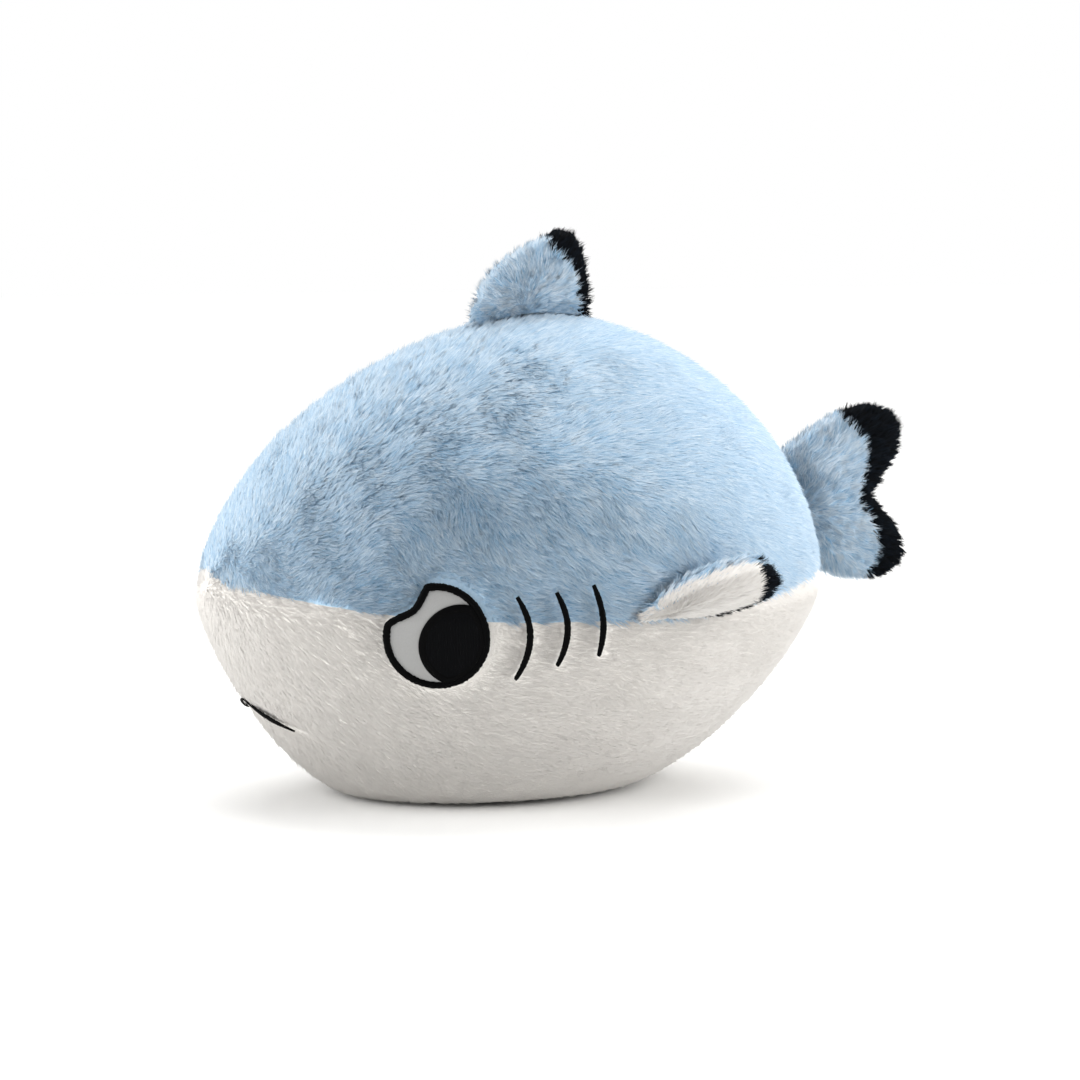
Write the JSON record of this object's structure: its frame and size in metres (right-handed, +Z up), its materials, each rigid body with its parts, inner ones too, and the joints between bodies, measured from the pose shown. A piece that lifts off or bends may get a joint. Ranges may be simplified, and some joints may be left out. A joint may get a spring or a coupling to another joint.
{
  "type": "plush shark",
  "caption": "Egg-shaped long-pile plush shark with a flat base, bendable dorsal, tail and pectoral fins, and stitched eyes, gills and mouth.",
  "frame": {"origin": "centre of the flat oval belly face that the toy rests on", "axes": "nose along -Y, tail along +Y, the shark's left along +X, up along +Z"},
  "size_m": [0.3308, 0.4556, 0.3352],
  "materials": {
    "blue_pile": "matte",
    "white_pile": "matte",
    "black_pile": "matte",
    "white_satin": "satin",
    "black_thread": "satin",
    "polyester_fibre": "matte"
  },
  "bodies": {
    "body": {"body_stuffing": "polyester_fibre", "back_panel_left": "blue_pile", "back_panel_right": "blue_pile", "side_panel_left": "white_pile", "side_panel_right": "white_pile", "base_panel": "white_pile", "eye_white_left": "white_satin", "eye_white_right": "white_satin", "pupil_left": "black_thread", "pupil_right": "black_thread", "eye_outline_left": "black_thread", "eye_outline_right": "black_thread", "gill_stitch_left_front": "black_thread", "gill_stitch_right_front": "black_thread", "gill_stitch_left_middle": "black_thread", "gill_stitch_right_middle": "black_thread", "gill_stitch_left_rear": "black_thread", "gill_stitch_right_rear": "black_thread", "mouth_stitch": "black_thread"},
    "dorsal_fin": {"dorsal_fin_panel_left": "blue_pile", "dorsal_fin_panel_right": "blue_pile", "dorsal_fin_edge_left": "black_pile", "dorsal_fin_edge_right": "black_pile", "dorsal_fin_stuffing": "polyester_fibre"},
    "tail_fin": {"tail_fin_panel_left": "blue_pile", "tail_fin_panel_right": "blue_pile", "tail_fin_edge_left": "black_pile", "tail_fin_edge_right": "black_pile", "tail_fin_stuffing": "polyester_fibre"},
    "pectoral_fin_left": {"pectoral_fin_left_top": "blue_pile", "pectoral_fin_left_underside": "white_pile", "pectoral_fin_left_edge_top": "black_pile", "pectoral_fin_left_edge_under": "black_pile", "pectoral_fin_left_stuffing": "polyester_fibre"},
    "pectoral_fin_right": {"pectoral_fin_right_top": "blue_pile", "pectoral_fin_right_underside": "white_pile", "pectoral_fin_right_edge_top": "black_pile", "pectoral_fin_right_edge_under": "black_pile", "pectoral_fin_right_stuffing": "polyester_fibre"}
  },
  "joints": [
    {"name": "dorsal_fin_sway", "type": "hinge", "parent": "body", "child": "dorsal_fin", "pos_m": [0, 0.026, 0.2835], "axis": [0, 1, 0], "range_deg": [-30, 30], "stiffness_Nm_per_rad": 0.1},
    {"name": "tail_fin_swing", "type": "hinge", "parent": "body", "child": "tail_fin", "pos_m": [0, 0.205, 0.16], "axis": [0, -0.28, 0.96], "range_deg": [-35, 35], "stiffness_Nm_per_rad": 0.1},
    {"name": "pectoral_fin_left_flap", "type": "hinge", "parent": "body", "child": "pectoral_fin_left", "pos_m": [0.1484, 0.034, 0.1184], "axis": [0.1017, -0.9947, -0.0133], "range_deg": [-60, 5], "stiffness_Nm_per_rad": 0.1},
    {"name": "pectoral_fin_right_flap", "type": "hinge", "parent": "body", "child": "pectoral_fin_right", "pos_m": [-0.1484, 0.034, 0.1184], "axis": [0.1017, 0.9947, 0.0133], "range_deg": [-60, 5], "stiffness_Nm_per_rad": 0.1}
  ]
}
